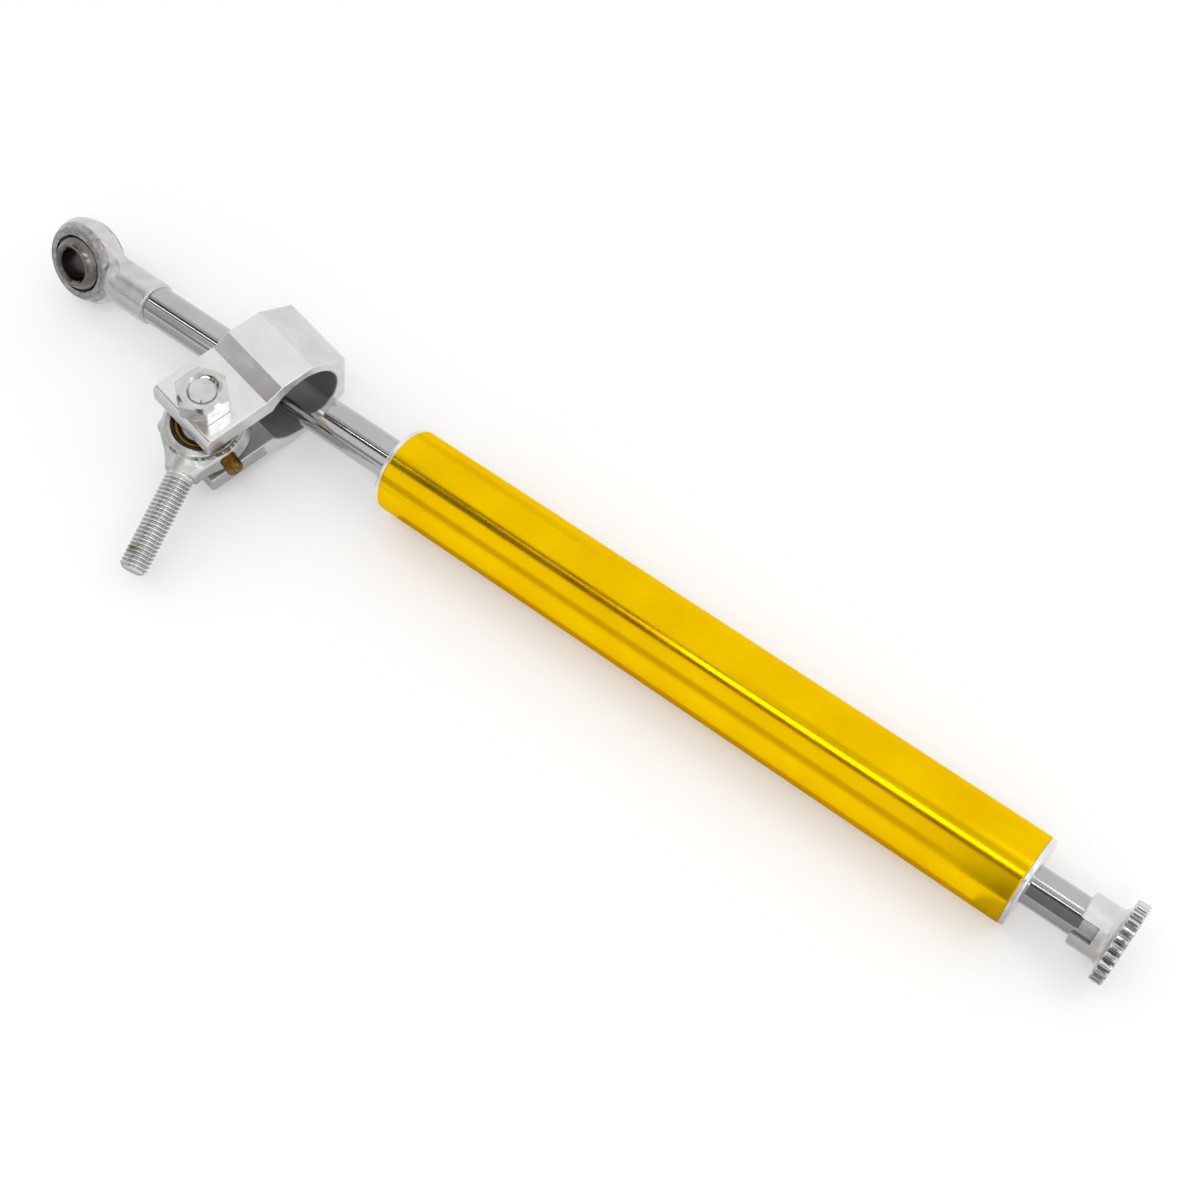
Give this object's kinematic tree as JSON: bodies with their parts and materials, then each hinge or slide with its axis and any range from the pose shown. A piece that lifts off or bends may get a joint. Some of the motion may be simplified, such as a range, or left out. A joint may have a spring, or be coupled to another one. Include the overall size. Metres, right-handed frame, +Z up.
{
  "type": "motorcycle steering damper",
  "caption": "Adjustable steering damper: gold cylinder with a through rod, ball-joint eye, adjuster knob and a loose tube clamp carrying a male ball-joint rod end.",
  "frame": {"origin": "centre of the ball in the eye on the front end of the rod", "axes": "+X along the rod from the eye to the adjuster knob, +Z up with the damper lying on a table"},
  "size_m": [0.3721, 0.0881, 0.0399],
  "materials": {
    "gold_anodised": "polished gold anodising",
    "cap_aluminium": "turned bright",
    "bronze": "turned",
    "seal_rubber": "matte",
    "piston_aluminium": "turned",
    "band_plastic": "filled plastic",
    "chromed_steel": "ground and chromed",
    "spring_steel": "dark steel",
    "bearing_steel": "polished hard steel",
    "plated_steel": "satin plated",
    "knob_aluminium": "turned satin, polished rim",
    "clamp_aluminium": "polished",
    "bright_zinc": "bright zinc",
    "satin_zinc": "satin zinc",
    "race_brass": "tarnished brass"
  },
  "bodies": {
    "cylinder": {"tube": "gold_anodised", "front_cap": "cap_aluminium", "rear_cap": "cap_aluminium", "front_bush": "bronze", "rear_bush": "bronze", "front_rod_seal": "seal_rubber", "rear_rod_seal": "seal_rubber", "front_o_ring": "seal_rubber", "rear_o_ring": "seal_rubber"},
    "piston": {"piston": "piston_aluminium", "piston_ring": "band_plastic"},
    "rod": {"rod": "chromed_steel", "piston_circlips": "spring_steel", "detent_ball": "bearing_steel", "detent_spring": "spring_steel", "eye_housing": "plated_steel", "eye_race": "plated_steel"},
    "eye_ball": {"eye_ball": "bearing_steel"},
    "needle": {"adjuster_needle": "spring_steel", "needle_o_ring": "seal_rubber"},
    "knob": {"adjuster_knob": "knob_aluminium", "knob_screw": "spring_steel"},
    "clamp": {"clamp_bracket": "clamp_aluminium", "clamp_bolt": "bright_zinc", "clamp_nut": "bright_zinc", "ball_spacers": "bright_zinc", "stud_ball": "bearing_steel"},
    "rod_end": {"stud_eye_housing": "satin_zinc", "stud_eye_race": "race_brass", "grease_nipple": "race_brass"}
  },
  "joints": [
    {"name": "rod_slide", "type": "slide", "parent": "cylinder", "child": "piston", "axis": [1, 0, 0], "range_m": [-0.0135, 0.03]},
    {"name": "rod_turn", "type": "hinge", "parent": "piston", "child": "rod", "pos_m": [0.18, 0, 0], "axis": [1, 0, 0], "continuous": true},
    {"name": "eye_swivel", "type": "hinge", "parent": "rod", "child": "eye_ball", "pos_m": [0, 0, 0], "axis": [0, -0.8988, 0.4384], "continuous": true},
    {"name": "needle_slide", "type": "slide", "parent": "rod", "child": "needle", "axis": [1, 0, 0], "range_m": [-0.0004, 0.0004]},
    {"name": "knob_turn", "type": "hinge", "parent": "needle", "child": "knob", "pos_m": [0.3461, 0, 0], "axis": [1, 0, 0], "range_deg": [-180, 180]},
    {"name": "clamp_slide", "type": "slide", "parent": "cylinder", "child": "clamp", "axis": [1, 0, 0], "range_m": [0, 0.028]},
    {"name": "stud_swivel", "type": "hinge", "parent": "clamp", "child": "rod_end", "pos_m": [0.07547, -0.0258, 0.00513], "axis": [0.1521, 0.0173, 0.9882], "range_deg": [-105, 60]}
  ],
  "couplings": [
    {"joint": "knob_turn", "follows": "needle_slide", "rad_per_m": 7854}
  ]
}
